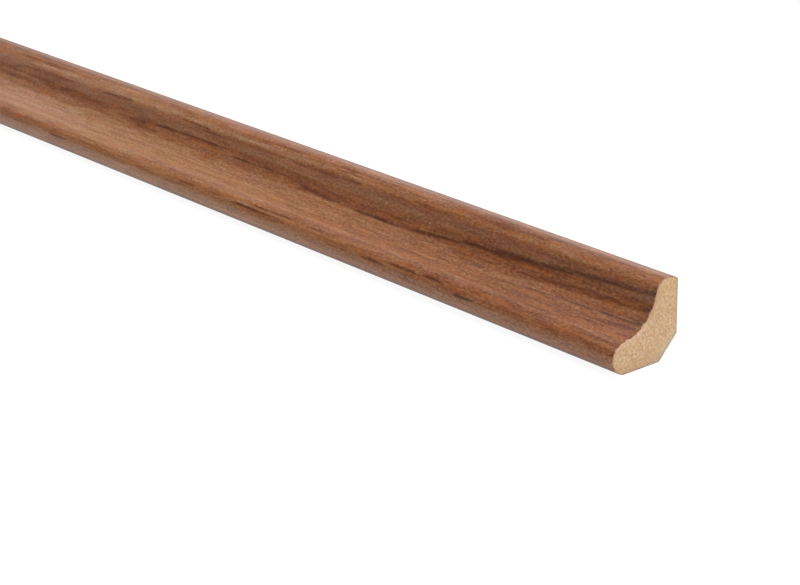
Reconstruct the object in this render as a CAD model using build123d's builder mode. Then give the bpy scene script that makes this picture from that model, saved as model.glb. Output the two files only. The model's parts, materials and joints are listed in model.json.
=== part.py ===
from build123d import *
from math import acos, atan2, cos, degrees, radians, sin, sqrt
import os

# Scotia moulding, one sold length: a fibreboard core with a thin walnut wrap round its show face.
# It lies as it is fixed where a floor meets a wall. +X runs along the strip, +Y points to the
# wall, +Z is up, and the origin is the middle of the base.

# Driving dimensions of the strip, in millimetres
length = 2400.0
width = 19.0  # from the front nose to the wall
height = 18.65  # from the floor to the crown of the top nose

# Show face, measured on the outside of the wrap
front_nose_radius = 3.75
top_nose_radius = 3.6
cove_radius = 10.15
crown_setback = 3.0  # from the wall to the highest line of the top nose
crown_radius = 5.5  # flatter arc that falls from the crown to the wall

# Relief cut along the hidden edge, so that the strip clears a bead of glue or a rough corner
relief_leg = 5.25

# Wrap, pressed flush into the core where it turns round to the base and to the back
wrap_thickness = 0.2
base_return = 5.0  # under the base, from the lowest line of the front nose
back_return = 3.0  # down the back, from the edge of the crown

# Centres of the section's arcs, across the strip and up
wall_y = width / 2
crown_y = wall_y - crown_setback
crown_centre = Vector(crown_y, height - crown_radius)
top_centre = Vector(crown_y, height - top_nose_radius)
front_centre = Vector(front_nose_radius - wall_y, front_nose_radius)

# The cove touches both noses, so its centre closes a triangle on their two centres
between_noses = front_centre - top_centre
reach_from_top = cove_radius + top_nose_radius
reach_from_front = cove_radius + front_nose_radius
corner_at_top = acos(
    (reach_from_top**2 + between_noses.length**2 - reach_from_front**2)
    / (2 * reach_from_top * between_noses.length)
)
top_to_cove = atan2(between_noses.Y, between_noses.X) - corner_at_top
cove_centre = top_centre + Vector(cos(top_to_cove), sin(top_to_cove)) * reach_from_top

# Angles, in degrees, at which the cove leaves each nose
top_exit = degrees(top_to_cove) % 360
front_to_cove = cove_centre - front_centre
front_exit = degrees(atan2(front_to_cove.Y, front_to_cove.X)) % 360

# Free edges of the wrap
crown_drop = crown_radius - sqrt(crown_radius**2 - crown_setback**2)
back_edge_z = height - crown_drop - back_return
base_edge_y = front_centre.X + base_return


def show_face(inset):
    """Draw the line from the wrap's back edge to its base edge, a distance inside the surface."""
    back_y = wall_y - inset
    crown_start = degrees(acos((crown_setback - inset) / (crown_radius - inset)))
    crown = CenterArc(crown_centre, crown_radius - inset, crown_start, 90 - crown_start)
    Line((back_y, back_edge_z), crown @ 0)
    CenterArc(top_centre, top_nose_radius - inset, 90, top_exit - 90)
    CenterArc(cove_centre, cove_radius + inset, top_exit + 180, front_exit - top_exit)
    CenterArc(front_centre, front_nose_radius - inset, front_exit, 270 - front_exit)
    Line((front_centre.X, inset), (base_edge_y, inset))


# Core: fibreboard, machined to the whole section and left bare on its back, base and sawn ends
with BuildPart() as mdf_core:
    with BuildSketch(Plane.YZ):
        with BuildLine():
            show_face(wrap_thickness)
            Polyline(
                (base_edge_y, wrap_thickness),
                (base_edge_y, 0),
                (wall_y - relief_leg, 0),
                (wall_y, relief_leg),
                (wall_y, back_edge_z),
                (wall_y - wrap_thickness, back_edge_z),
            )
        make_face()
    extrude(amount=length / 2, both=True)

# Wrap: one walnut skin glued over the crown, cove and front nose and turned round both edges
with BuildPart() as walnut_wrap:
    with BuildSketch(Plane.YZ):
        with BuildLine():
            show_face(0)
            show_face(wrap_thickness)
            Line((wall_y, back_edge_z), (wall_y - wrap_thickness, back_edge_z))
            Line((base_edge_y, 0), (base_edge_y, wrap_thickness))
        make_face()
    extrude(amount=length / 2, both=True)

mdf_core.part.label = "mdf_core"
walnut_wrap.part.label = "walnut_wrap"

os.makedirs("parts", exist_ok=True)
export_step(mdf_core.part, "parts/mdf_core.step")
export_step(walnut_wrap.part, "parts/walnut_wrap.step")
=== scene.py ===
# %% [markdown]
# # Dressing a scotia moulding
#
# A scotia is the hollow strip that closes the gap between a floor and a wall. This one is a
# fibreboard core with a thin walnut skin wrapped round its show face, cut to a sold length. The
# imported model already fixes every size, so this script adds only what the eye checks: smooth
# curves, the figure of the walnut, the speckle of the board and the light of a studio.
#
# Everything is in metres. +X runs along the strip, +Y points to the wall and +Z is up.

# %% Load the fixed frame
import json
from math import acos, atan2, cos, degrees, radians, sin, sqrt

import bmesh
import bpy
from mathutils import Matrix, Vector, noise

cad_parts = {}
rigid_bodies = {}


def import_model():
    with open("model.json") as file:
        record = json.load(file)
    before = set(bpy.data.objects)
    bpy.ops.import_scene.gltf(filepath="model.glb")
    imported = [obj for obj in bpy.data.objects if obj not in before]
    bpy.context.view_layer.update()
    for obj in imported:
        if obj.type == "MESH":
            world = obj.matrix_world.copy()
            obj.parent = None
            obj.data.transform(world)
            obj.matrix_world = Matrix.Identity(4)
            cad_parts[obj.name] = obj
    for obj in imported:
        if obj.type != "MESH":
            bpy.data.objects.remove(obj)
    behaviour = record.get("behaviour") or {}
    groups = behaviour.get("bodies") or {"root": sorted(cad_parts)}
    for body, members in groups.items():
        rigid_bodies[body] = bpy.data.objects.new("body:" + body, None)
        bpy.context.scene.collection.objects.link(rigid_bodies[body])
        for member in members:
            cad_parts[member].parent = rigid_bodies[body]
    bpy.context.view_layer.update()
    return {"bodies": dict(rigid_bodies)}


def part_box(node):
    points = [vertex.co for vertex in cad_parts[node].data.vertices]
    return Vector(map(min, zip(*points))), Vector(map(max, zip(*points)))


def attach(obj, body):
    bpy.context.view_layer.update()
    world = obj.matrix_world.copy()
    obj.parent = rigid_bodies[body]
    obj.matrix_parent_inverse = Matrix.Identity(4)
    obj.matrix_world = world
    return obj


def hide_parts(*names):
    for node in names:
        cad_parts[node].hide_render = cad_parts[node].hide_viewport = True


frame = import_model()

# %% [markdown]
# ## The camera
#
# A product shot like this is taken from a few hand spans away with a long lens, which shows
# itself in how little the strip narrows as it runs back. The lens, the place and the tilt below
# were found together, by matching the corners of the sawn end and the two long edges. A camera
# looks along its own -Z, so it is first tipped up from the floor and then turned round +Z.

# %% Place the camera
CAMERA_PLACE = (1.5222, -0.3313, 0.1922)
CAMERA_SENSOR = 36.0  # millimetres wide
CAMERA_LENS = 106.2  # millimetres
CAMERA_SEES = (0.05, 100.0)  # metres, from the nearest to the farthest
LOOKS_DOWN = 20.78  # degrees below the horizon
LOOKS_ALONG = 140.57  # degrees round from +X
CAMERA_ROLL = -1.125  # degrees

camera_data = bpy.data.cameras.new("studio_camera")
camera_data.sensor_width = CAMERA_SENSOR
camera_data.lens = CAMERA_LENS
camera_data.clip_start, camera_data.clip_end = CAMERA_SEES
camera = bpy.data.objects.new("studio_camera", camera_data)
camera.matrix_world = (
    Matrix.Translation(CAMERA_PLACE)
    @ Matrix.Rotation(radians(LOOKS_ALONG - 90), 4, "Z")
    @ Matrix.Rotation(radians(90 - LOOKS_DOWN), 4, "X")
    @ Matrix.Rotation(radians(CAMERA_ROLL), 4, "Z")
)
bpy.context.scene.collection.objects.link(camera)
bpy.context.scene.camera = camera
print("camera looks along", [round(v, 3) for v in -camera.matrix_world.col[2].to_3d()])

# %% [markdown]
# ## The section
#
# Scotia is drawn with a compass: a round nose on the floor, a round nose at the wall and a
# hollow between them that touches both. Two circles that touch have their centres one line
# apart, as long as their radii together, so the hollow's centre closes a triangle on the two
# noses. These are the maker's sizes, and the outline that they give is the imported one, only
# smoother.

# %% Sizes of the section
FRONT_NOSE = 0.00375
TOP_NOSE = 0.0036
COVE = 0.01015
CROWN_SETBACK = 0.003  # from the wall to where the crown meets the top nose
CROWN = 0.0055
RELIEF = 0.00525
SKIN = 0.0002
BASE_RETURN = 0.005
BACK_RETURN = 0.003
FOLD = 0.00025  # radius at which the skin turns from the crown to the back

end_x, wall_y, top_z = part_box("walnut_wrap")[1]  # the highest corner

crown_centre = Vector((wall_y - CROWN_SETBACK, top_z - CROWN))
top_centre = Vector((wall_y - CROWN_SETBACK, top_z - TOP_NOSE))
front_centre = Vector((FRONT_NOSE - wall_y, FRONT_NOSE))
between = front_centre - top_centre
to_top, to_front = COVE + TOP_NOSE, COVE + FRONT_NOSE
adjacent = to_top**2 + between.length_squared - to_front**2
corner = acos(adjacent / (2 * to_top * between.length))
bearing = atan2(between.y, between.x) - corner
cove_centre = top_centre + to_top * Vector((cos(bearing), sin(bearing)))
top_exit = degrees(bearing) % 360
front_exit = degrees(atan2(*(cove_centre - front_centre).yx)) % 360
corner_z = crown_centre.y + sqrt(CROWN**2 - CROWN_SETBACK**2)
back_edge = corner_z - BACK_RETURN
base_edge = front_centre.x + BASE_RETURN
fold_rise = sqrt((CROWN - FOLD) ** 2 - (CROWN_SETBACK - FOLD) ** 2)
fold_centre = Vector((wall_y - FOLD, crown_centre.y + fold_rise))
fold_exit = degrees(atan2(fold_rise, CROWN_SETBACK - FOLD))
print("cove centre, in mm:", round(cove_centre.x * 1000, 2), round(cove_centre.y * 1000, 2))

# %% [markdown]
# ## Drawing with one vertex
#
# The section could be a list of points, but an arc is what the cutter made, so it is spun: one
# vertex is turned about the arc's centre and leaves a chain of short edges behind. Each vertex
# also notes how far along the skin it lies. That distance, the girth, is what the walnut will
# be mapped by, because the skin was flat before it was wrapped.

# %% Straight runs and arcs
GIRTH = "girth"


def start_at(mesh, y, z, girth=0.0):
    """The first vertex of a chain, at the far end of the strip."""
    vertex = mesh.verts.new((-end_x, y, z))
    vertex[mesh.verts.layers.float[GIRTH]] = girth
    return vertex


def run_to(mesh, last, y, z):
    """A straight edge from the last vertex to a new one."""
    layer = mesh.verts.layers.float[GIRTH]
    made = bmesh.ops.extrude_vert_indiv(mesh, verts=[last])["verts"][0]
    made.co.y, made.co.z = y, z
    made[layer] = last[layer] + (made.co - last.co).length
    return made


def turn_about(mesh, last, centre, angle, steps):
    """An arc of short edges: the last vertex turned about a centre, by an angle in degrees."""
    layer = mesh.verts.layers.float[GIRTH]
    middle = Vector((-end_x, centre.x, centre.y))
    turn = radians(angle) / steps
    step_length = (last.co - middle).length * abs(radians(angle)) / steps
    for _ in range(steps):
        spun = bmesh.ops.spin(
            mesh, geom=[last], cent=middle, axis=(1, 0, 0), angle=turn, steps=1
        )
        made = next(item for item in spun["geom_last"] if isinstance(item, bmesh.types.BMVert))
        made[layer] = last[layer] + step_length
        last = made
    return last


print("runs and arcs ready")

# %% [markdown]
# Drawn this way, the show face is a run down the back, five arcs and a run along the base. The
# wrap follows it on the surface and the core a skin's thickness inside it.

# %% Round the show face
# Short edges in each arc
FOLD_STEPS = 6
CROWN_STEPS = 14
TOP_STEPS = 26
COVE_STEPS = 64
FRONT_STEPS = 56


def show_face(mesh, inset):
    """The chain from the wrap's back edge to its base edge, a distance inside the surface."""
    back_y = wall_y - inset
    first = start_at(mesh, back_y, back_edge, girth=back_edge - corner_z)
    last = run_to(mesh, first, back_y, fold_centre.y)
    arcs = (
        (fold_centre, fold_exit, FOLD_STEPS),
        (crown_centre, 90 - fold_exit, CROWN_STEPS),
        (top_centre, top_exit - 90, TOP_STEPS),
        (cove_centre, front_exit - top_exit, COVE_STEPS),
        (front_centre, 270 - front_exit, FRONT_STEPS),
    )
    for centre, angle, steps in arcs:
        last = turn_about(mesh, last, centre, angle, steps)
    last = run_to(mesh, last, base_edge, inset)
    return first, last


def finish_mesh(mesh, name, smooth):
    """Put a bmesh into a new object at the origin."""
    data = bpy.data.meshes.new(name)
    mesh.to_mesh(data)
    mesh.free()
    data.shade_smooth() if smooth else data.shade_flat()
    made = bpy.data.objects.new(name, data)
    bpy.context.scene.collection.objects.link(made)
    return made


arc_steps = FOLD_STEPS + CROWN_STEPS + TOP_STEPS + COVE_STEPS + FRONT_STEPS
print("short edges round the show face", arc_steps)

# %% [markdown]
# ## The saw's bites
#
# A saw tears small bites out of a skin this thin and bares the board under it. They need no new
# faces: the last row of vertices is pulled back, far at each bite and a hair in between. The
# bites are listed one by one and a noise gives the hairs.

# %% Bite the edge
TORN_UP_TO = 0.0305  # metres of girth: not where the nose comes down to the floor
JAG_DEPTH = 0.00014
JAG_LIFT = 0.4  # added to the noise, so that most of the edge is torn a little
JAGS_PER_METRE = 2300.0
JAG_PLACE = (1.3, 7.0)  # where in the noise the jags are read, apart for the two ends

# Each bite: its middle on the girth, its half width and its depth, in millimetres. It is at
# full depth over its middle half and slopes to nothing at its sides.
BITES = [
    (5.7, 0.7, 0.20), (8.9, 0.6, 0.30), (12.3, 0.8, 0.36), (15.3, 0.8, 0.42),
    (17.2, 0.5, 0.24), (20.3, 0.8, 0.40), (24.1, 0.6, 0.22), (28.9, 0.5, 0.25),
]


def torn_back(side, girth):
    """How far the saw broke the skin back from the end, in metres."""
    if not 0.0 < girth < TORN_UP_TO:
        return 0.0
    row, layer = JAG_PLACE
    jag = noise.noise(Vector((side * row, girth * JAGS_PER_METRE, layer)))
    torn = JAG_DEPTH * max(0.0, jag + JAG_LIFT)
    for middle, half_width, depth in BITES:
        away = abs(girth * 1000 - middle) / half_width
        torn += depth / 1000 * min(1.0, max(0.0, 2.0 * (1.0 - away)))
    return torn


print("deepest bite, in mm:", max(depth for _, _, depth in BITES))

# %% [markdown]
# ## The wrap
#
# On the real strip the skin is a ribbon pressed on by rollers, and that is how it is modelled:
# the chain is extruded along the strip as a sheet and the Solidify modifier gives it its
# thickness, inwards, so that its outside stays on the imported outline. Its free edges are marked
# sharp, or the shading would run round them.

# %% Roll out the wrap
WRAP_SPANS = 24
END_SPAN = 0.003  # the last span at each end, so that only its outer edge moves


def map_by_girth(mesh):
    """UVs in metres: along the strip, and along the skin from the wall edge of the crown."""
    girth = mesh.verts.layers.float[GIRTH]
    sheet = mesh.loops.layers.uv.new("sheet")
    for face in mesh.faces:
        for loop in face.loops:
            loop[sheet].uv = (loop.vert.co.x, loop.vert[girth])


def make_wrap():
    """The walnut skin."""
    mesh = bmesh.new()
    girth = mesh.verts.layers.float.new(GIRTH)
    show_face(mesh, 0.0)
    front = list(mesh.edges)
    middle_span = 2 * (end_x - END_SPAN) / WRAP_SPANS
    for span in [END_SPAN] + [middle_span] * WRAP_SPANS + [END_SPAN]:
        pulled = bmesh.ops.extrude_edge_only(mesh, edges=front)["geom"]
        moved = [item for item in pulled if isinstance(item, bmesh.types.BMVert)]
        bmesh.ops.translate(mesh, verts=moved, vec=(span, 0, 0))
        front = [item for item in pulled if isinstance(item, bmesh.types.BMEdge)]
    for vertex in mesh.verts:
        if abs(vertex.co.x) > end_x - END_SPAN / 2:
            side = 1 if vertex.co.x > 0 else -1
            vertex.co.x = side * (end_x - torn_back(side, vertex[girth]))
    bmesh.ops.recalc_face_normals(mesh, faces=mesh.faces)
    for edge in mesh.edges:
        edge.smooth = not edge.is_boundary
    map_by_girth(mesh)
    return finish_mesh(mesh, "wrap", smooth=True)


wrap = make_wrap()
thickness = wrap.modifiers.new("skin", "SOLIDIFY")
thickness.thickness = SKIN
thickness.offset = -1.0
thickness.use_even_offset = True
print("wrap faces", len(wrap.data.polygons), "first normal", wrap.data.polygons[0].normal[:])

# %% [markdown]
# ## The core
#
# The board is one moulded stick, so one face with the section's outline, extruded to the other
# end, is all that it needs. Its outline follows the wrap's inside and steps out to the bare
# back and base, where the skin stops and is pressed in flush.

# %% Extrude the core
def make_core():
    """The fibreboard core."""
    mesh = bmesh.new()
    mesh.verts.layers.float.new(GIRTH)
    first, last = show_face(mesh, SKIN)
    last = run_to(mesh, last, base_edge, 0.0)
    last = run_to(mesh, last, wall_y - RELIEF, 0.0)
    last = run_to(mesh, last, wall_y, RELIEF)
    last = run_to(mesh, last, wall_y, back_edge)
    mesh.edges.new((last, first))
    end = bmesh.ops.contextual_create(mesh, geom=mesh.edges[:])["faces"]
    pulled = bmesh.ops.extrude_face_region(mesh, geom=end)["geom"]
    moved = [item for item in pulled if isinstance(item, bmesh.types.BMVert)]
    bmesh.ops.translate(mesh, verts=moved, vec=(2 * end_x, 0, 0))
    bmesh.ops.recalc_face_normals(mesh, faces=mesh.faces)
    return finish_mesh(mesh, "core", smooth=False)


core = make_core()
print("core faces", len(core.data.polygons))

# %% [markdown]
# ## Walnut
#
# Walnut is brown in bands: each year's growth lies beside the last, and wherever the log was
# cut these bands run almost straight along the strip. So every noise here is stretched, fine
# across the skin and long along it. The material is built up as a polisher sees it: a pale
# ground with broad bands, soft streaks, fine fibres, short open pores, and a few ink-dark veins
# that wander.
#
# A material made in code soon fills with lines that add a node, fill its sockets and draw its
# links. One helper does all three: it sets a socket when it is given a number and links it when
# it is given another node's output, so each line of a material reads like a small formula.

# %% Node helpers
def add(tree, kind, inputs=None, output=0, **settings):
    """Add a node, fill its inputs with values or links, and return one of its outputs."""
    made = tree.nodes.new(kind)
    for name, value in settings.items():
        setattr(made, name, value)
    for key, value in (inputs or {}).items():
        if isinstance(value, bpy.types.NodeSocket):
            tree.links.new(value, made.inputs[key])
        else:
            made.inputs[key].default_value = value
    return made.outputs[output]


def maths(tree, operation, first, second=0.0, third=0.0, clamp=False):
    """One Math node."""
    inputs = {0: first, 1: second, 2: third}
    return add(tree, "ShaderNodeMath", inputs, operation=operation, use_clamp=clamp)


def fade(tree, value, start, end, low=0.0, high=1.0):
    """A smooth step from low to high as value goes from start to end."""
    inputs = {"Value": value, "From Min": start, "From Max": end, "To Min": low, "To Max": high}
    return add(tree, "ShaderNodeMapRange", inputs, interpolation_type="SMOOTHSTEP")


print("helpers ready")

# %% [markdown]
# ## A vein
#
# A vein is drawn as a function of the place on the sheet. It runs from one point to another,
# bows a little in between, tapers at both ends and fades to its sides, and noise breaks it up.
# It is a group, so that the same few nodes serve for every vein.

# %% A vein of dark wood
VEIN_SKIRT = 1.5  # half widths from its line at which a vein has faded out
NOT_ZERO = 0.00001  # metres, so that nothing is divided by zero at a vein's tips


def make_vein_group():
    """One tapering dark line on the sheet, from one place to another, as a mask from 0 to 1."""
    tree = bpy.data.node_groups.new("vein", "ShaderNodeTree")
    for name in ("Along", "Across", "Start", "End", "Start girth", "End girth", "Bow", "Width"):
        tree.interface.new_socket(name, in_out="INPUT", socket_type="NodeSocketFloat")
    tree.interface.new_socket("Mask", in_out="OUTPUT", socket_type="NodeSocketFloat")
    given = tree.nodes.new("NodeGroupInput").outputs
    span = maths(tree, "SUBTRACT", given["End"], given["Start"])
    travelled = maths(tree, "SUBTRACT", given["Along"], given["Start"])
    share = maths(tree, "DIVIDE", travelled, span, clamp=True)
    rest = maths(tree, "SUBTRACT", 1.0, share)
    arch = maths(tree, "MULTIPLY", maths(tree, "MULTIPLY", share, rest), 4.0)  # 1 at its middle
    climb = maths(tree, "SUBTRACT", given["End girth"], given["Start girth"])
    line = maths(tree, "MULTIPLY_ADD", climb, share, given["Start girth"])
    line = maths(tree, "MULTIPLY_ADD", given["Bow"], arch, line)
    away = maths(tree, "ABSOLUTE", maths(tree, "SUBTRACT", given["Across"], line))
    width = maths(tree, "MULTIPLY", given["Width"], maths(tree, "SQRT", arch))
    near = maths(tree, "DIVIDE", away, maths(tree, "ADD", width, NOT_ZERO))
    out = tree.nodes.new("NodeGroupOutput")
    tree.links.new(fade(tree, near, VEIN_SKIRT, 0.0), out.inputs["Mask"])
    return tree


vein_group = make_vein_group()
print("nodes in a vein", len(vein_group.nodes))

# %% [markdown]
# ## Where the veins and streaks run
#
# The veins are what one would know this strip by, so they could not be left to a noise: each is
# placed one by one, from its start to its end. The softer streaks are drawn by the same group,
# only wider and weaker. Some darken the ground and some let it show paler, and the broadest
# ones, in the hollow and on both noses, lean to gold instead.

# %% Place the veins and streaks
# Each row: distance from the sawn end to the vein's start and end, the girth at both, how far
# its middle bows, its half width, all in millimetres, and how dark it is, from 0 to 1. A start
# or end below 0 lies past the cut, so that the saw goes through the vein.
VEINS = [
    (211, 196, 8.2, 7.5, -0.1, 0.58, 0.62),
    (196, 188, 12.2, 12.2, 0.0, 0.60, 0.65),
    (185, 168, 11.8, 11.0, -0.2, 0.50, 0.78),
    (174, 155, 10.9, 11.1, -0.1, 0.34, 0.80),
    (150, 134, 12.3, 12.2, 0.0, 0.30, 0.90),
    (138, 124, 12.2, 12.1, 0.0, 0.28, 0.65),
    (119, 103, 13.2, 13.4, 0.1, 0.46, 0.84),
    (98, 82, 13.8, 13.8, 0.0, 0.40, 1.00),
    (90, 70, 13.8, 13.4, 0.1, 0.26, 0.70),
    (77, 48, 13.4, 11.9, 0.0, 0.38, 0.92),
    (72, 64, 13.0, 12.6, 0.0, 0.40, 0.65),
    (60, 24, 12.05, 10.4, 0.15, 0.70, 0.95),
    (36, -8, 10.8, 7.7, 0.1, 0.82, 0.80),
    (10, -8, 9.0, 7.4, 0.0, 0.65, 0.85),
    (46, 22, 17.85, 16.05, 0.0, 0.32, 0.70),
    (24, -6, 16.4, 14.9, 0.1, 0.42, 0.85),
    (9, 1, 17.4, 17.1, 0.0, 0.50, 0.75),
    (15, -1, 18.3, 17.7, 0.0, 0.28, 0.45),
    (56, 49, 16.6, 16.1, 0.0, 0.32, 0.55),
    (30, 22, 21.8, 21.3, 0.0, 0.35, 0.60),
    (220, 211, 25.9, 25.8, 0.1, 0.40, 0.85),
    (158, 151, 24.8, 25.0, 0.0, 0.45, 0.55),
    (137, 119, 25.0, 24.8, -0.1, 0.34, 0.95),
    (127, 111, 23.8, 23.6, 0.0, 0.34, 0.78),
    (104, 98, 23.6, 23.3, 0.0, 0.30, 0.70),
    (75, 63, 24.6, 24.6, 0.0, 0.42, 0.85),
    (62, 54, 24.4, 24.3, 0.0, 0.38, 0.90),
    (51, 44, 25.8, 25.7, 0.0, 0.48, 0.85),
    (84, 74, 25.6, 25.5, 0.0, 0.42, 0.60),
    (122, 116, 27.1, 27.0, 0.0, 0.30, 0.50),
    (160, 154, 22.8, 22.9, 0.0, 0.32, 0.55),
    (172, 168, 22.2, 22.0, 0.0, 0.40, 0.40),
]

# Softer streaks of the ground colour, in the same way: darker above 0 and paler below it
STREAKS = [
    (256, 224, 5.6, 5.3, 0.0, 0.70, 0.15),
    (243, 172, 6.6, 6.2, 0.0, 1.00, -0.18),
    (188, 86, 3.9, 3.9, 0.0, 0.95, -0.20),
    (150, 58, 9.8, 9.8, 0.0, 1.20, -0.10),
    (214, 186, 4.9, 4.8, 0.0, 0.90, -0.16),
    (252, 224, 8.8, 8.2, 0.0, 0.60, 0.30),
    (242, 205, 11.4, 12.2, 0.2, 1.20, 0.14),
    (201, 183, 12.2, 12.2, 0.0, 1.10, 0.13),
    (222, 180, 12.4, 12.2, 0.0, 1.10, -0.07),
    (173, 160, 7.4, 7.3, 0.0, 0.40, 0.35),
    (168, 128, 8.1, 7.9, 0.1, 0.62, 0.32),
    (172, 134, 6.5, 6.3, 0.0, 0.80, -0.14),
    (125, 98, 8.3, 7.6, 0.0, 0.60, 0.28),
    (140, 84, 5.4, 5.1, -0.1, 0.42, 0.22),
    (144, 98, 6.6, 6.5, 0.0, 0.50, -0.12),
    (300, 210, 18.6, 18.4, 0.0, 3.20, -0.08),
    (104, 56, 21.1, 21.0, 0.0, 0.80, -0.07),
    (56, -8, 16.6, 16.2, 0.0, 1.10, -0.12),
    (146, 96, 14.6, 14.6, 0.0, 0.90, -0.09),
    (122, 74, 14.5, 14.4, 0.0, 0.60, -0.10),
    (262, 214, 21.1, 20.9, 0.0, 0.60, -0.10),
    (234, 194, 5.9, 5.8, 0.0, 0.50, -0.14),
    (148, 98, 5.8, 5.8, 0.0, 0.45, -0.09),
    (102, 62, 5.2, 5.2, 0.0, 0.50, -0.10),
    (134, 112, 7.9, 7.8, 0.0, 0.50, 0.11),
    (162, 106, 10.4, 10.3, 0.0, 0.55, -0.10),
    (160, 134, 13.3, 13.2, 0.0, 0.50, -0.09),
    (86, 58, 15.9, 15.8, 0.0, 0.70, -0.11),
    (64, 44, 17.8, 17.7, 0.0, 0.50, 0.11),
    (54, 8, 19.3, 19.2, 0.0, 0.60, 0.08),
    (174, 158, 21.6, 21.5, 0.0, 0.40, 0.14),
    (54, 26, 23.8, 23.7, 0.0, 0.50, 0.11),
    (42, 26, 25.9, 25.8, 0.0, 0.50, 0.10),
    (206, 106, 28.3, 28.3, 0.0, 0.60, -0.09),
    (79, 60, 7.4, 6.9, 0.0, 0.50, 0.28),
    (66, 34, 5.3, 5.0, 0.0, 0.80, 0.22),
    (64, 20, 14.7, 12.8, 0.1, 0.45, 0.06),
    (48, 18, 15.0, 14.8, 0.0, 0.80, -0.06),
    (40, -14, 14.2, 11.7, -0.2, 0.68, 0.26),
    (50, 24, 12.2, 11.7, 0.0, 0.50, 0.12),
    (36, -2, 14.9, 14.4, 0.0, 0.55, -0.08),
    (20, 6, 17.1, 16.8, 0.0, 0.40, -0.07),
]

# Broad streaks that lean to gold, in the same way
GOLD_STREAKS = [
    (205, 10, 19.2, 19.2, 0.0, 2.60, 1.00),
    (225, 15, 25.8, 25.8, 0.0, 1.30, 1.00),
    (215, 15, 7.6, 7.6, 0.0, 0.80, 0.70),
]
print("veins", len(VEINS), "streaks", len(STREAKS), "of gold", len(GOLD_STREAKS))

# %% [markdown]
# ## The growth bands
#
# Each growth band is a soft-edged stripe with its own place on the girth. Tables of the same
# kind say where the wood is stained orange, where the ink of the veins is nearer to plum, where
# the ground is patchy, and what the saw did to the skin beside its cut. Every band has two
# strengths, one far off and one at the sawn end, because the figure changes on the way.

# %% The growth bands
# Each row: where the band begins, where it is full, where it starts to leave and where it is
# gone, along the girth in millimetres, and how much it darkens far off and at the near end.
BANDS = [
    (-1.0, 0.0, 3.6, 5.0, 0.60, 0.52),
    (3.6, 4.8, 5.8, 6.6, 0.19, 0.20),
    (5.6, 6.4, 8.2, 9.4, -0.05, 0.18),
    (6.9, 7.5, 8.8, 9.8, -0.11, -0.02),
    (7.8, 9.4, 12.4, 16.6, 0.10, 0.17),
    (9.8, 11.0, 12.4, 14.6, 0.12, 0.16),
    (12.0, 15.0, 22.5, 24.5, -0.05, 0.33),
    (18.6, 19.3, 19.8, 20.5, 0.06, 0.06),
    (18.5, 20.5, 22.0, 23.2, 0.08, -0.03),
    (21.6, 23.6, 26.0, 27.4, 0.04, 0.14),
    (24.0, 24.9, 25.6, 26.4, 0.03, 0.05),
    (25.4, 26.4, 28.3, 29.2, -0.12, -0.03),
    # The last row is no growth band: it is painted shade along the underside of the front nose,
    # where it meets the floor.
    (28.0, 29.2, 31.0, 32.0, 0.10, 0.38),
]

# The bands that are stained orange, in the same way
WARM_BANDS = [
    (6.8, 7.6, 8.7, 9.9, 0.70, 0.66),
    (17.2, 18.4, 20.4, 21.6, 0.00, 0.15),
    (23.0, 24.2, 27.4, 28.4, 0.30, 0.40),
]

# Where the ink of the veins is nearer to plum, in the same way
PLUM_BANDS = [(13.5, 15.0, 18.6, 19.6, 0.0, 1.0)]

# Where the saw left the skin's own cut edge pale, in the same way: round both noses
PALE_CUTS = [
    (-1.0, 0.0, 5.0, 7.0, 0.38, 0.38),
    (23.0, 26.0, 31.0, 32.0, 0.25, 0.25),
]

# Where the saw's dust cools the skin beside the cut, in the same way
SAWN_TINT_BANDS = [(6.0, 7.5, 15.0, 19.0, 0.0, 1.0)]

# Where the ground is patchy, in the same way: everywhere but the hollow's pale stripe
PATCHY_BANDS = [
    (-1.0, 0.0, 13.0, 16.0, 0.45, 0.40),
    (21.5, 23.0, 26.0, 27.0, 0.70, 0.45),
    (26.0, 27.0, 30.0, 31.0, 0.40, 0.25),
]
FIGURE_LENGTH = 0.25  # metres over which the figure changes from near to far


def bands(tree, along, across, rows):
    """All the bands of a table together."""
    nearness = fade(tree, along, end_x - FIGURE_LENGTH, end_x)
    total = 0.0
    for begins, full, leaves, gone, far, near in rows:
        strength = maths(tree, "MULTIPLY_ADD", nearness, near - far, far)
        rise = fade(tree, across, begins / 1000, full / 1000)
        stay = fade(tree, across, leaves / 1000, gone / 1000, 1.0, 0.0)
        shape = maths(tree, "MULTIPLY", rise, stay)
        total = maths(tree, "MULTIPLY_ADD", shape, strength, total)
    return total


def centred(tree, value, strength, total=0.0):
    """Add a noise to a total, so that it darkens and lightens by the same amount."""
    return maths(tree, "MULTIPLY_ADD", maths(tree, "SUBTRACT", value, 0.5), strength, total)


print("growth bands", len(BANDS))

# %% [markdown]
# ## Noise that runs with the grain
#
# Blender's noise is as long as it is wide. Multiplying the place by a small number along the
# strip and a large one across it squeezes that noise into fibres, and a shift reads it
# somewhere else, so that two noises of one scale don't match.

# %% Stretched noise
def grain(tree, place, scale, detail=2.0, roughness=0.5):
    """Noise from 0 to 1, with so many waves per metre."""
    inputs = {"Vector": place, "Scale": scale, "Detail": detail, "Roughness": roughness}
    return add(tree, "ShaderNodeTexNoise", inputs)


def scaled(tree, place, factors, shift=(0, 0, 0)):
    """place times factors plus shift: larger factors make a pattern finer along that axis."""
    inputs = {0: place, 1: factors, 2: shift}
    return add(tree, "ShaderNodeVectorMath", inputs, operation="MULTIPLY_ADD")


def stretched_grain(tree, place, waves, shift=(0, 0, 0), detail=2.0, roughness=0.5):
    """Noise from 0 to 1, with its own number of waves per metre along each axis."""
    return grain(tree, scaled(tree, place, waves, shift), 1.0, detail, roughness)


print("noise ready")
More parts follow.
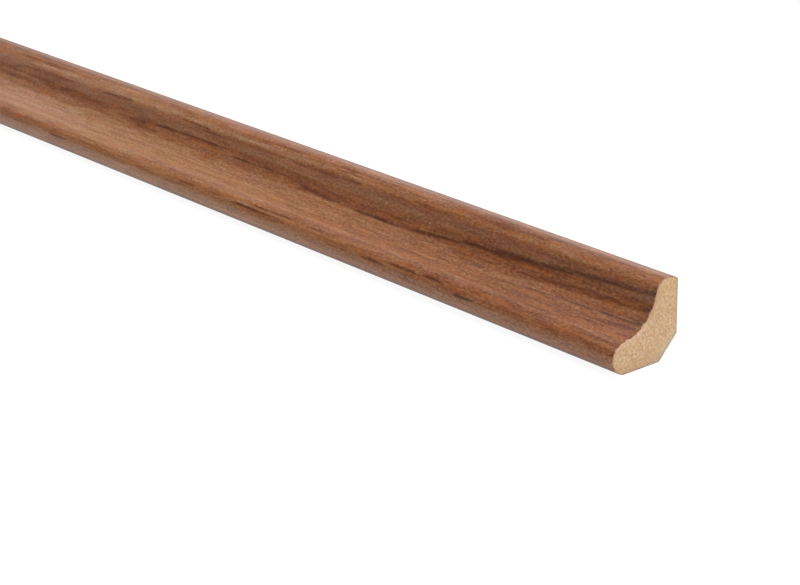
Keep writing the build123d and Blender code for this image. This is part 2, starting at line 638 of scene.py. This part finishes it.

# %% [markdown]
# ## Laying veins and streaks on the sheet
#
# Each row of a list becomes one group node. Veins join by the darkest of them, so that two that
# cross don't add up to black, and streaks are summed. Beyond the stretch where they are listed
# the veins come from a noise: its contour lines are long and thin and never cross each
# other, and a second noise cuts them into dashes.

# %% Lay the veins and streaks
WILD_FROM = 0.30  # metres from the sawn end
WILD_FADE = 0.05
WILD_HILLS = (7, 300, 1)  # waves per metre of the noise whose contour lines are veins
WILD_SHIFT = (3, 5, 0)
WILD_LINE = (0.016, 0.002)  # how far off the contour's height a line begins and is full
WILD_CUTS = (26, 210, 1)  # waves per metre of the noise that cuts them
WILD_DASH = (0.5, 0.62)
WILD_STRENGTH = 0.85


def placed(tree, along, across, rows, join):
    """The veins or streaks of a list together: the darkest of them, or their sum."""
    total = 0.0
    for start, end, start_girth, end_girth, bow, width, strength in rows:
        inputs = {
            "Along": along,
            "Across": across,
            "Start": end_x - start / 1000,
            "End": end_x - end / 1000,
            "Start girth": start_girth / 1000,
            "End girth": end_girth / 1000,
            "Bow": bow / 1000,
            "Width": width / 1000,
        }
        mask = add(tree, "ShaderNodeGroup", inputs, node_tree=vein_group)
        total = maths(tree, join, total, maths(tree, "MULTIPLY", mask, strength))
    return total


def wild_veins(tree, along, place):
    """Veins for the rest of the strip: contour lines of a stretched noise, cut into dashes."""
    hills = stretched_grain(tree, place, WILD_HILLS, WILD_SHIFT, detail=1.0)
    slope = maths(tree, "ABSOLUTE", maths(tree, "SUBTRACT", hills, 0.5))
    lines = fade(tree, slope, *WILD_LINE)
    dashes = fade(tree, stretched_grain(tree, place, WILD_CUTS, detail=1.0), *WILD_DASH)
    starts = end_x - WILD_FROM
    beyond = fade(tree, along, starts - WILD_FADE, starts, WILD_STRENGTH, 0.0)
    return maths(tree, "MULTIPLY", maths(tree, "MULTIPLY", lines, dashes), beyond)


print("veins run on from", WILD_FROM, "m")

# %% [markdown]
# ## The colours of the walnut
#
# Walnut is never one brown. A colour ramp goes from sapwood to heartwood as the wood darkens,
# and rust, plum and ink are laid over it in patches. A stain or a tint multiplies the colour
# instead: that turns the hue and keeps the figure.

# %% Woods, stains and tints
def colour(red, green, blue):
    """A colour as it reads on a screen, from 0 to 255, as the linear values a shader takes."""
    def linear(value):
        value /= 255
        return value / 12.92 if value <= 0.04045 else ((value + 0.055) / 1.055) ** 2.4

    return (linear(red), linear(green), linear(blue), 1.0)


HEART_WOOD = colour(107, 56, 26)
BROWN_WOOD = colour(145, 88, 54)
PALE_WOOD = colour(169, 118, 81)
SAP_WOOD = colour(200, 156, 126)
ORANGE_WOOD = colour(182, 106, 48)
PLUM_WOOD = colour(120, 84, 82)
INK_WOOD = colour(85, 39, 17)
INK_PLUM = colour(92, 54, 46)
CUT_WOOD = colour(208, 184, 156)

# Where on the way from pale to dark the ramp has each of the woods between
WOOD_STEPS = ((0.40, PALE_WOOD), (0.70, BROWN_WOOD))

WARM_STAIN = (1.0, 0.76, 0.58, 1.0)
GOLD_STAIN = (1.02, 1.03, 0.85, 1.0)
# Painted sheen: the far end is tinted cooler and paler, as a sheen would pale it
FAR_SHEEN_TINT = (1.0, 1.03, 1.14, 1.0)
SAWN_TINT = (0.84, 0.93, 1.04, 1.0)

# Slow leanings of the hue, moss to rose and then warm to cool: the shift of a noise, and the
# two tints that it goes between
LEANINGS = [
    ((0, 0, 11), (0.975, 1.025, 0.97, 1.0), (1.025, 0.975, 1.03, 1.0)),
    ((0, 0, 13), (1.02, 1.00, 0.96, 1.0), (0.98, 1.00, 1.04, 1.0)),
]


def wood_ramp(tree, darkness):
    """Sapwood at 0 through to heartwood at 1."""
    ramp = tree.nodes.new("ShaderNodeValToRGB")
    tree.links.new(darkness, ramp.inputs[0])
    steps = ramp.color_ramp.elements
    steps[0].position, steps[0].color = 0.0, SAP_WOOD
    steps[1].position, steps[1].color = 1.0, HEART_WOOD
    for position, wood in WOOD_STEPS:
        steps.new(position).color = wood
    return ramp.outputs[0]


print("woods on the ramp", 2 + len(WOOD_STEPS))

# %% [markdown]
# ## The grain, from coarse to fine
#
# One noise can't be a whole plank. Here each noise is one scale of the wood: growth lines as
# long as a hand, streaks as long as a finger joint, flecks of a few millimetres and open pores
# below one. All of them read the sheet after it has drifted a little to and fro across the
# skin, so that nothing in the figure runs dead straight, the growth bands included.

# %% Read the sheet
DRIFT = 0.0016  # metres that the figure wanders across the skin
DRIFT_WAVES = (11, 150, 1)

# Each noise: its waves per metre along and across the skin, its shift, detail and roughness
NOISES = {
    "broad": ((6, 240, 1), (0, 0, 0), 2.0, 0.5),
    "patches": ((36, 430, 1), (0, 0, 7), 2.0, 0.5),
    "lines": ((22, 900, 1), (0, 0, 0), 2.0, 0.5),
    "streaks": ((130, 1100, 1), (0, 0, 0), 2.0, 0.5),
    "flecks": ((900, 2000, 1), (0, 0, 0), 3.0, 0.8),
    "pores": ((260, 3600, 1), (0, 9, 0), 1.0, 0.5),
    "hue": ((150, 700, 1), (0, 0, 4), 3.0, 0.5),
}


def split(tree, place):
    """The X, Y and Z of a place or a direction."""
    return add(tree, "ShaderNodeSeparateXYZ", {0: place}).node.outputs


def read_sheet(tree):
    """Where on the sheet a point lies, once drifted, and all the noises there."""
    sheet = add(tree, "ShaderNodeUVMap", uv_map="sheet")
    drift = stretched_grain(tree, sheet, DRIFT_WAVES, detail=3.0)
    along, straight, _ = split(tree, sheet)
    across = centred(tree, drift, DRIFT, straight)
    place = add(tree, "ShaderNodeCombineXYZ", {0: along, 1: across})
    noises = {name: stretched_grain(tree, place, *row) for name, row in NOISES.items()}
    return along, across, place, noises


print("noises", list(NOISES))

# %% [markdown]
# ## How dark the wood is
#
# Bands, streaks and noises all add up to one value, from pale at 0 to dark at 1. That is
# simpler to steer than layers of colour, because each part only says how much it darkens. The
# flecks are crisper near the sawn end, where the eye is closest to them.

# %% Add up the darkness
GROUND_DARKNESS = 0.40
GRAIN_STRENGTHS = {"broad": 0.30, "lines": 0.30, "streaks": 0.65}
CRISPNESS = (1.35, 1.9)  # strength of the flecks, far off and at the sawn end


def darken(tree, along, across, noises, patchiness):
    """How dark the ground is, from 0 to 1."""
    darkness = maths(tree, "ADD", bands(tree, along, across, BANDS), GROUND_DARKNESS)
    darkness = maths(tree, "ADD", darkness, placed(tree, along, across, STREAKS, "ADD"))
    crispness = fade(tree, along, end_x - FIGURE_LENGTH, end_x, *CRISPNESS)
    strengths = {**GRAIN_STRENGTHS, "patches": patchiness, "flecks": crispness}
    for name in ("broad", "patches", "lines", "streaks", "flecks"):
        darkness = centred(tree, noises[name], strengths[name], darkness)
    return darkness


print("grain strengths", GRAIN_STRENGTHS)

# %% [markdown]
# ## Stains, leanings and patches
#
# Next the hue is turned: by the stains that have a place of their own, such as the orange at
# the noses, the broad gold streaks and the cool dust beside the saw's cut, by painted sheen that
# cools the far end, and by two slow noises that lean it to and fro everywhere. Then rust, plum
# and open pores go on top.

# %% Stain the ground
# Where the far end's painted sheen is full and where it is gone
FAR_SHEEN_FULL = 0.26  # metres from the sawn end
FAR_SHEEN_GONE = 0.19
SAWN_TINT_LENGTH = 0.006
LEANING_WAVES = (170, 600, 1)
LEANING_FADE = (0.3, 0.7)
RUST_FADE = (0.48, 0.75)  # heights of the hue noise where rust begins and is full
PLUM_FADE = (0.46, 0.25)
PORE_FADE = (0.62, 0.78)
LEAST_RUST = 0.28
RUST_OF_PATCHES = 0.45  # more rust where the ground is patchy
MOST_PLUM = 0.3
MOST_PORE = 0.4

# The sockets of a Mix node that are for colours
MIX_FACTOR, MIX_FIRST, MIX_SECOND, MIX_RESULT = 0, 6, 7, 2


def blend_colours(tree, factor, first, second, mode="MIX"):
    """A colour Mix node."""
    inputs = {MIX_FACTOR: factor, MIX_FIRST: first, MIX_SECOND: second}
    return add(tree, "ShaderNodeMix", inputs, MIX_RESULT, data_type="RGBA", blend_type=mode)


def stain_and_paint_sheen(tree, along, across, ground):
    """The ground, stained and tinted in set places, with painted sheen cooling the far end."""
    far_sheen = fade(tree, along, end_x - FAR_SHEEN_FULL, end_x - FAR_SHEEN_GONE, 1.0, 0.0)
    by_saw = fade(tree, along, end_x - SAWN_TINT_LENGTH, end_x - SAWN_TINT_LENGTH / 3)
    by_saw = maths(tree, "MULTIPLY", by_saw, bands(tree, along, across, SAWN_TINT_BANDS))
    stains_and_painted_light = (
        (bands(tree, along, across, WARM_BANDS), WARM_STAIN),
        (placed(tree, along, across, GOLD_STREAKS, "MAXIMUM"), GOLD_STAIN),
        # The far end's painted sheen
        (far_sheen, FAR_SHEEN_TINT),
        (by_saw, SAWN_TINT),
    )
    for share, laid_colour in stains_and_painted_light:
        ground = blend_colours(tree, share, ground, laid_colour, "MULTIPLY")
    return ground


def leaning(tree, place, ground):
    """The ground with its hue drifting slowly to and fro."""
    for shift, first, second in LEANINGS:
        drift = stretched_grain(tree, place, LEANING_WAVES, shift)
        tint = blend_colours(tree, fade(tree, drift, *LEANING_FADE), first, second)
        ground = blend_colours(tree, 1.0, ground, tint, "MULTIPLY")
    return ground


def patched(tree, noises, patchiness, ground):
    """The ground with patches of rust and plum, and with its open pores."""
    most_rust = maths(tree, "MULTIPLY_ADD", patchiness, RUST_OF_PATCHES, LEAST_RUST)
    patches = (
        (fade(tree, noises["hue"], *RUST_FADE, 0.0, most_rust), ORANGE_WOOD),
        (fade(tree, noises["hue"], *PLUM_FADE, 0.0, MOST_PLUM), PLUM_WOOD),
        (fade(tree, noises["pores"], *PORE_FADE, 0.0, MOST_PORE), HEART_WOOD),
    )
    for share, wood in patches:
        ground = blend_colours(tree, share, ground, wood)
    return ground


print("leanings of the hue", len(LEANINGS))

# %% [markdown]
# ## Ink
#
# The ink of a vein sinks in unevenly. Its line wobbles with the fibres and is thinner where
# they are pale, so the same noises break it up.

# %% Ink the veins
STREAK_WOBBLE = 0.0004  # metres that a vein wobbles with the streaks
FLECK_WOBBLE = 0.0005
INK_FADE = (0.75, 1.05)  # heights of streaks and flecks together where the ink is thin and full
THIN_INK = 0.55


def inked(tree, along, across, place, noises, ground):
    """The ground with its veins."""
    wobble = centred(tree, noises["streaks"], STREAK_WOBBLE, across)
    wobble = centred(tree, noises["flecks"], FLECK_WOBBLE, wobble)
    veins = placed(tree, along, wobble, VEINS, "MAXIMUM")
    veins = maths(tree, "MAXIMUM", veins, wild_veins(tree, along, place))
    fibres = maths(tree, "ADD", noises["streaks"], noises["flecks"])
    broken = fade(tree, fibres, *INK_FADE, THIN_INK, 1.0)
    ink = blend_colours(tree, bands(tree, along, across, PLUM_BANDS), INK_WOOD, INK_PLUM)
    return blend_colours(tree, maths(tree, "MULTIPLY", veins, broken), ground, ink)


print("ink at its thinnest", THIN_INK)

# %% [markdown]
# ## The cut edge and the lacquer
#
# At the saw's cut the skin shows its own pale edge, so the material has to know where it is
# sawn: there its faces look along the strip. The lacquer is a satin one that follows the fibres
# and dips at the pores, and a weak bump is enough for that.

# %% Mix the walnut
PORE_DIP = 0.6
GRAIN_BUMP = 0.1
GRAIN_HEIGHT = 0.00004
GLOSS_FADE = (0.2, 0.8)
SATIN = (0.44, 0.36)  # roughness beside the streaks and on them


def on_sawn_end(tree):
    """1 on faces that look along the strip and 0 elsewhere."""
    normal = add(tree, "ShaderNodeNewGeometry", output="True Normal")
    facing = maths(tree, "ABSOLUTE", split(tree, normal)[0])
    return maths(tree, "GREATER_THAN", facing, 0.5)


def show(tree, shader):
    """Lead a shader to the material's surface."""
    out = tree.nodes.new("ShaderNodeOutputMaterial")
    tree.links.new(shader, out.inputs["Surface"])


def new_material(name):
    """An empty node material and its tree."""
    material = bpy.data.materials.new(name)
    material.use_nodes = True
    material.node_tree.nodes.clear()
    return material, material.node_tree


def walnut():
    """Lacquered walnut, mapped by the sheet's own UVs in metres."""
    material, tree = new_material("walnut")
    along, across, place, noises = read_sheet(tree)
    patchiness = bands(tree, along, across, PATCHY_BANDS)
    ground = wood_ramp(tree, darken(tree, along, across, noises, patchiness))
    ground = stain_and_paint_sheen(tree, along, across, ground)
    ground = leaning(tree, place, ground)
    ground = patched(tree, noises, patchiness, ground)
    ground = inked(tree, along, across, place, noises, ground)
    cut = maths(tree, "MULTIPLY", on_sawn_end(tree), bands(tree, along, across, PALE_CUTS))
    ground = blend_colours(tree, cut, ground, CUT_WOOD)

    dips = maths(tree, "MULTIPLY", noises["pores"], PORE_DIP)
    height = maths(tree, "SUBTRACT", noises["streaks"], dips)
    relief = {"Strength": GRAIN_BUMP, "Distance": GRAIN_HEIGHT, "Height": height}
    bump = add(tree, "ShaderNodeBump", relief)
    gloss = fade(tree, noises["streaks"], *GLOSS_FADE, *SATIN)
    inputs = {"Base Color": ground, "Roughness": gloss, "Normal": bump}
    show(tree, add(tree, "ShaderNodeBsdfPrincipled", inputs))
    return material


walnut_material = walnut()
wrap.data.materials.append(walnut_material)
print("walnut nodes", len(walnut_material.node_tree.nodes))

# %% [markdown]
# ## Fibreboard
#
# Fibreboard is wood that was pulled to wool and pressed again, so it has no grain: close to, it
# is a felt of paler and darker specks, some nearer to rose and some to straw. Specks are a
# solid pattern, so they read Object coordinates, and the same board shows on the sawn end, the
# back and the base.

# %% The felt of the board
BOARD = colour(194, 162, 130)
BOARD_LIGHT = colour(213, 188, 162)
BOARD_DARK = colour(167, 130, 92)
BOARD_EDGE_GREY = colour(150, 150, 148)
BOARD_RELIEF_GREY = colour(178, 180, 168)
BOARD_ROSE = colour(208, 158, 126)
BOARD_STRAW = colour(193, 163, 112)
BOARD_PALE = colour(230, 198, 166)
BOARD_GLUE = colour(170, 126, 84)

# Each noise: its waves per metre, shift, detail and roughness
FELT_NOISES = {
    "cloud": (420.0, (0, 0, 0), 2.0, 0.5),
    "speck": (1700.0, (0, 0, 0), 3.0, 0.6),
    "tone": (650.0, (3, 0, 0), 2.0, 0.5),
}

# Each layer of the felt: its noise, the heights there where it begins and is full, how strong
# it then is, and its colour
FELT = (
    ("speck", 0.50, 0.70, 1.00, BOARD_LIGHT),
    ("speck", 0.50, 0.32, 1.00, BOARD_DARK),
    ("cloud", 0.45, 0.70, 0.25, BOARD_DARK),
    ("tone", 0.50, 0.70, 0.50, BOARD_ROSE),
    ("tone", 0.50, 0.30, 0.50, BOARD_STRAW),
)


def felt(tree, place):
    """The board's own colour, and the noise of its specks."""
    noises = {}
    for name, (waves, shift, detail, roughness) in FELT_NOISES.items():
        shifted = scaled(tree, place, (1, 1, 1), shift)
        noises[name] = grain(tree, shifted, waves, detail, roughness)
    mixed = BOARD
    for name, begins, full, strength, fibre in FELT:
        share = fade(tree, noises[name], begins, full, 0.0, strength)
        mixed = blend_colours(tree, share, mixed, fibre)
    return mixed, noises["speck"]


print("layers of felt", len(FELT))

# %% [markdown]
# ## The sawn ends
#
# A sawn end is never as clean as the board inside. The glue that soaked in from the skin browns
# the upper part of the hollow, and lower down the pressed fibres show pale. The crown leans to
# straw, and the foot is darker with painted shade, where the end meets the floor. The board
# turns greyer along the relief cut, and greyer still in a thin line at its edges there, at the
# back and at the base. All of it is placed by how far a point lies from the section's own lines,
# so it would follow them if a size changed.

# %% Stain the sawn ends and paint shade at their foot
HOLLOW_STAIN = (0.0017, 0.0007)  # metres under the hollow at which its stain begins and is full
LOW_HALF = (0.011, 0.009)  # heights between which the upper part turns into the lower
STRAW_RISE = (0.012, 0.016)
# Heights between which painted shade darkens the foot of the end, where it meets the floor
FOOT_SHADE_FALL = (0.003, 0.001)
# Widths of the thin grey line at the end's edges and of the greyer band along the relief cut
RIM_WIDTH = 0.0009
RELIEF_GREY_WIDTH = 0.003

# How strong each stain, each greying and the painted shade at the foot is
STRAW, PALE, GLUE, FOOT_SHADE, RELIEF_GREY, RIM_GREY = 0.25, 0.22, 0.28, 0.18, 0.32, 0.55


def stain_and_shade_sawn_end(tree, place, mixed):
    """The board's colour on a sawn end, stained, greyer at its edges and with painted shade at
    its foot.
    """
    _, towards_wall, from_base = split(tree, place)
    from_back = maths(tree, "SUBTRACT", wall_y, towards_wall)
    from_relief = maths(tree, "SUBTRACT", maths(tree, "ADD", from_back, from_base), RELIEF)
    from_relief = maths(tree, "DIVIDE", from_relief, sqrt(2))
    nearest = maths(tree, "MINIMUM", maths(tree, "MINIMUM", from_back, from_base), from_relief)
    section = scaled(tree, place, (0, 1, 1))
    hollow = {0: section, 1: (0, cove_centre.x, cove_centre.y)}
    from_hollow = add(tree, "ShaderNodeVectorMath", hollow, 1, operation="DISTANCE")
    by_hollow = fade(tree, from_hollow, *(COVE + depth for depth in HOLLOW_STAIN))
    low = fade(tree, from_base, *LOW_HALF)
    high = maths(tree, "SUBTRACT", 1.0, low)
    stains_and_painted_light = (
        (fade(tree, from_base, *STRAW_RISE, 0.0, STRAW), BOARD_STRAW),
        (maths(tree, "MULTIPLY", maths(tree, "MULTIPLY", by_hollow, low), PALE), BOARD_PALE),
        (maths(tree, "MULTIPLY", maths(tree, "MULTIPLY", by_hollow, high), GLUE), BOARD_GLUE),
        # Painted shade at the foot, then the greyer band along the relief cut and the grey line
        # at the edges
        (fade(tree, from_base, *FOOT_SHADE_FALL, 0.0, FOOT_SHADE), BOARD_DARK),
        (fade(tree, from_relief, RELIEF_GREY_WIDTH, 0.0, 0.0, RELIEF_GREY), BOARD_RELIEF_GREY),
        (fade(tree, nearest, RIM_WIDTH, 0.0, 0.0, RIM_GREY), BOARD_EDGE_GREY),
    )
    on_end = on_sawn_end(tree)
    for share, laid_colour in stains_and_painted_light:
        mixed = blend_colours(tree, maths(tree, "MULTIPLY", share, on_end), mixed, laid_colour)
    return mixed


# How far the greyer band along the relief cut reaches
print("dust within", RELIEF_GREY_WIDTH, "m of the relief cut")

# %% [markdown]
# ## Bare fibres
#
# The felt stands up a little where it was sawn, so its specks are also a bump. Bare fibres
# don't shine: the surface is rough, and its highlight is turned down.

# %% Mix the fibreboard
FELT_BUMP = 0.4
FELT_HEIGHT = 0.00008
BARE_ROUGHNESS = 0.9
BARE_SPECULAR = 0.2


def fibreboard():
    """Bare fibreboard."""
    material, tree = new_material("fibreboard")
    place = add(tree, "ShaderNodeTexCoord", output="Object")
    mixed, speck = felt(tree, place)
    mixed = stain_and_shade_sawn_end(tree, place, mixed)
    relief = {"Strength": FELT_BUMP, "Distance": FELT_HEIGHT, "Height": speck}
    bump = add(tree, "ShaderNodeBump", relief)
    inputs = {
        "Base Color": mixed,
        "Roughness": BARE_ROUGHNESS,
        "Specular IOR Level": BARE_SPECULAR,
        "Normal": bump,
    }
    show(tree, add(tree, "ShaderNodeBsdfPrincipled", inputs))
    return material


board_material = fibreboard()
core.data.materials.append(board_material)
print("board nodes", len(board_material.node_tree.nodes))

# %% [markdown]
# ## The floor
#
# The strip lies on a white table that runs out of the picture on every side. To the camera and
# in the lacquer the table is mostly plain white, so that only a faint shadow shows. Bounced
# light sees an ordinary pale table instead, or the underside of the noses would glow. In the
# lacquer the table is brightest just before the strip and dim beyond it, as if a lit sheet of
# paper ended there, and that gives the front nose its soft sheen.

# %% Lay the floor
FLOOR_SIZE = 40.0
FLOOR_DROP = 0.00005  # metres under the strip, so that the two surfaces don't flicker
TABLE_WHITE = 0.75
PLAIN_SHARE = 0.85  # the rest of what is seen keeps the shadow
PLAIN_WHITE = 1.1
WHITE = (1, 1, 1, 1)

# How bright the table looks in the lacquer, far in front of the strip, close to it and behind
# it, and the places on Y between which that changes
SHEET_FAR, SHEET_NEAR, SHEET_BEHIND = 0.24, 0.83, 0.2
SHEET_BRIGHTENS = (-0.11, -0.03)
SHEET_DIMS = (0.0, 0.03)


def studio_floor():
    """A pale floor that reads as white to the camera and in reflections, and keeps shadows."""
    material, tree = new_material("studio_floor")
    table = (TABLE_WHITE, TABLE_WHITE, TABLE_WHITE, 1.0)
    shader = add(tree, "ShaderNodeBsdfDiffuse", {"Color": table})
    rays = tree.nodes.new("ShaderNodeLightPath").outputs
    seen = maths(tree, "MAXIMUM", rays["Is Camera Ray"], rays["Is Glossy Ray"])
    seen = maths(tree, "MAXIMUM", seen, rays["Is Transmission Ray"])
    y = split(tree, add(tree, "ShaderNodeTexCoord", output="Object"))[1]
    sheet = fade(tree, y, *SHEET_BRIGHTENS, SHEET_FAR, SHEET_NEAR)
    sheet = fade(tree, y, *SHEET_DIMS, sheet, SHEET_BEHIND)
    plain = maths(tree, "MULTIPLY", rays["Is Camera Ray"], PLAIN_WHITE)
    strength = maths(tree, "MAXIMUM", sheet, plain)
    glow = add(tree, "ShaderNodeEmission", {"Color": WHITE, "Strength": strength})
    share = maths(tree, "MULTIPLY", seen, PLAIN_SHARE)
    show(tree, add(tree, "ShaderNodeMixShader", {0: share, 1: shader, 2: glow}))
    return material


def make_floor():
    """A flat sheet just under the strip."""
    mesh = bmesh.new()
    bmesh.ops.create_grid(mesh, x_segments=1, y_segments=1, size=FLOOR_SIZE / 2)
    bmesh.ops.translate(mesh, verts=mesh.verts, vec=(0, 0, -FLOOR_DROP))
    made = finish_mesh(mesh, "floor", smooth=False)
    made.data.materials.append(studio_floor())
    return made


floor = make_floor()
print("floor", [round(side, 3) for side in floor.dimensions])

# %% [markdown]
# ## Lamps
#
# A moulding shows its shape by soft light from above and one side. One wide lamp hangs overhead
# and a second one stands beyond the sawn end. Both are areas and not points, so that the
# hollow's shade has no hard edge.

# %% Hang the lamps
def hang_lamp(name, place, aim, size, watts):
    """A square soft lamp at a place, facing a point."""
    data = bpy.data.lights.new(name, "AREA")
    data.shape = "SQUARE"
    data.size = size
    data.energy = watts
    lamp = bpy.data.objects.new(name, data)
    lamp.location = place
    lamp.rotation_mode = "QUATERNION"
    lamp.rotation_quaternion = (Vector(aim) - Vector(place)).to_track_quat("-Z", "Y")
    lamp.visible_camera = False
    bpy.context.scene.collection.objects.link(lamp)


hang_lamp("overhead", place=(1.0, 0.1, 3.0), aim=(1.0, 0, 0), size=2.0, watts=76)
hang_lamp("side", place=(4.0, 0.35, 1.1), aim=(1.1, 0, 0), size=1.4, watts=41)

# %% [markdown]
# ## The room
#
# The room fills in the rest: pale on the side of the wall and dim on the camera's side. The dim
# side gives the hollow its depth. The pale side is the sheen along the crown, so it is made as
# a room is: a dim skirting low down, then a painted wall, brightest along part of its length,
# and an ordinary ceiling. To the camera all of it is white.

# %% Light the room
SKIRTING = 0.25
WALL = 2.25
ROOM_BACK = 0.5  # above the wall
ROOM_FRONT = 0.12
WALL_PAINT = (1.0, 0.98, 0.92, 1.0)

# The directions, from -1 to 1 on each axis, between which the room changes
SKIRTING_ENDS = (0.03, 0.28)  # on Z
WALL_ENDS = (0.4, 0.62)  # on Z
FRONT_ENDS = (-0.2, 0.5)  # on Y
WALL_BRIGHTENS = (-1.0, -0.5)  # on X
WALL_DIMS = (-0.45, 0.05)  # on X
WALL_FAR, WALL_MIDDLE, WALL_NEAR = 0.45, 1.3, 0.7  # shares of the wall's brightness
PAINT_SHOWS = (0.6, 1.6)  # from this brightness to this one


def light_room():
    """A room that is pale behind the strip, dim in front of it, and white to the camera."""
    world = bpy.data.worlds.new("studio")
    world.use_nodes = True
    tree = world.node_tree
    tree.nodes.clear()
    x, y, z = split(tree, add(tree, "ShaderNodeTexCoord"))
    along_wall = fade(tree, x, *WALL_BRIGHTENS, WALL_FAR, WALL_MIDDLE)
    along_wall = fade(tree, x, *WALL_DIMS, along_wall, WALL_NEAR)
    wall = fade(tree, z, *SKIRTING_ENDS, SKIRTING, WALL)
    wall = maths(tree, "MULTIPLY", wall, along_wall)
    wall = fade(tree, z, *WALL_ENDS, wall, ROOM_BACK)
    room = fade(tree, y, *FRONT_ENDS, ROOM_FRONT, wall)
    tint = blend_colours(tree, fade(tree, room, *PAINT_SHOWS), WHITE, WALL_PAINT)
    rays = tree.nodes.new("ShaderNodeLightPath").outputs
    seen = maths(tree, "MAXIMUM", rays["Is Camera Ray"], rays["Is Transmission Ray"])
    strength = maths(tree, "MAXIMUM", room, seen)
    tint = blend_colours(tree, seen, tint, WHITE)
    light = add(tree, "ShaderNodeBackground", {"Color": tint, "Strength": strength})
    out = tree.nodes.new("ShaderNodeOutputWorld")
    tree.links.new(light, out.inputs["Surface"])
    return world


bpy.context.scene.world = light_room()
bpy.context.scene.view_settings.view_transform = "Standard"
print("room", bpy.context.scene.world.name)

# %% [markdown]
# ## Tie the looks to the model
#
# Both pieces ride on the strip's one body and stand for the imported solids of the same shape.

# %% Hand over
BODY = next(iter(frame["bodies"]))

for piece, node, slot in ((wrap, "walnut_wrap", "walnut"), (core, "mdf_core", "fibreboard")):
    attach(piece, BODY)
    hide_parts(node)
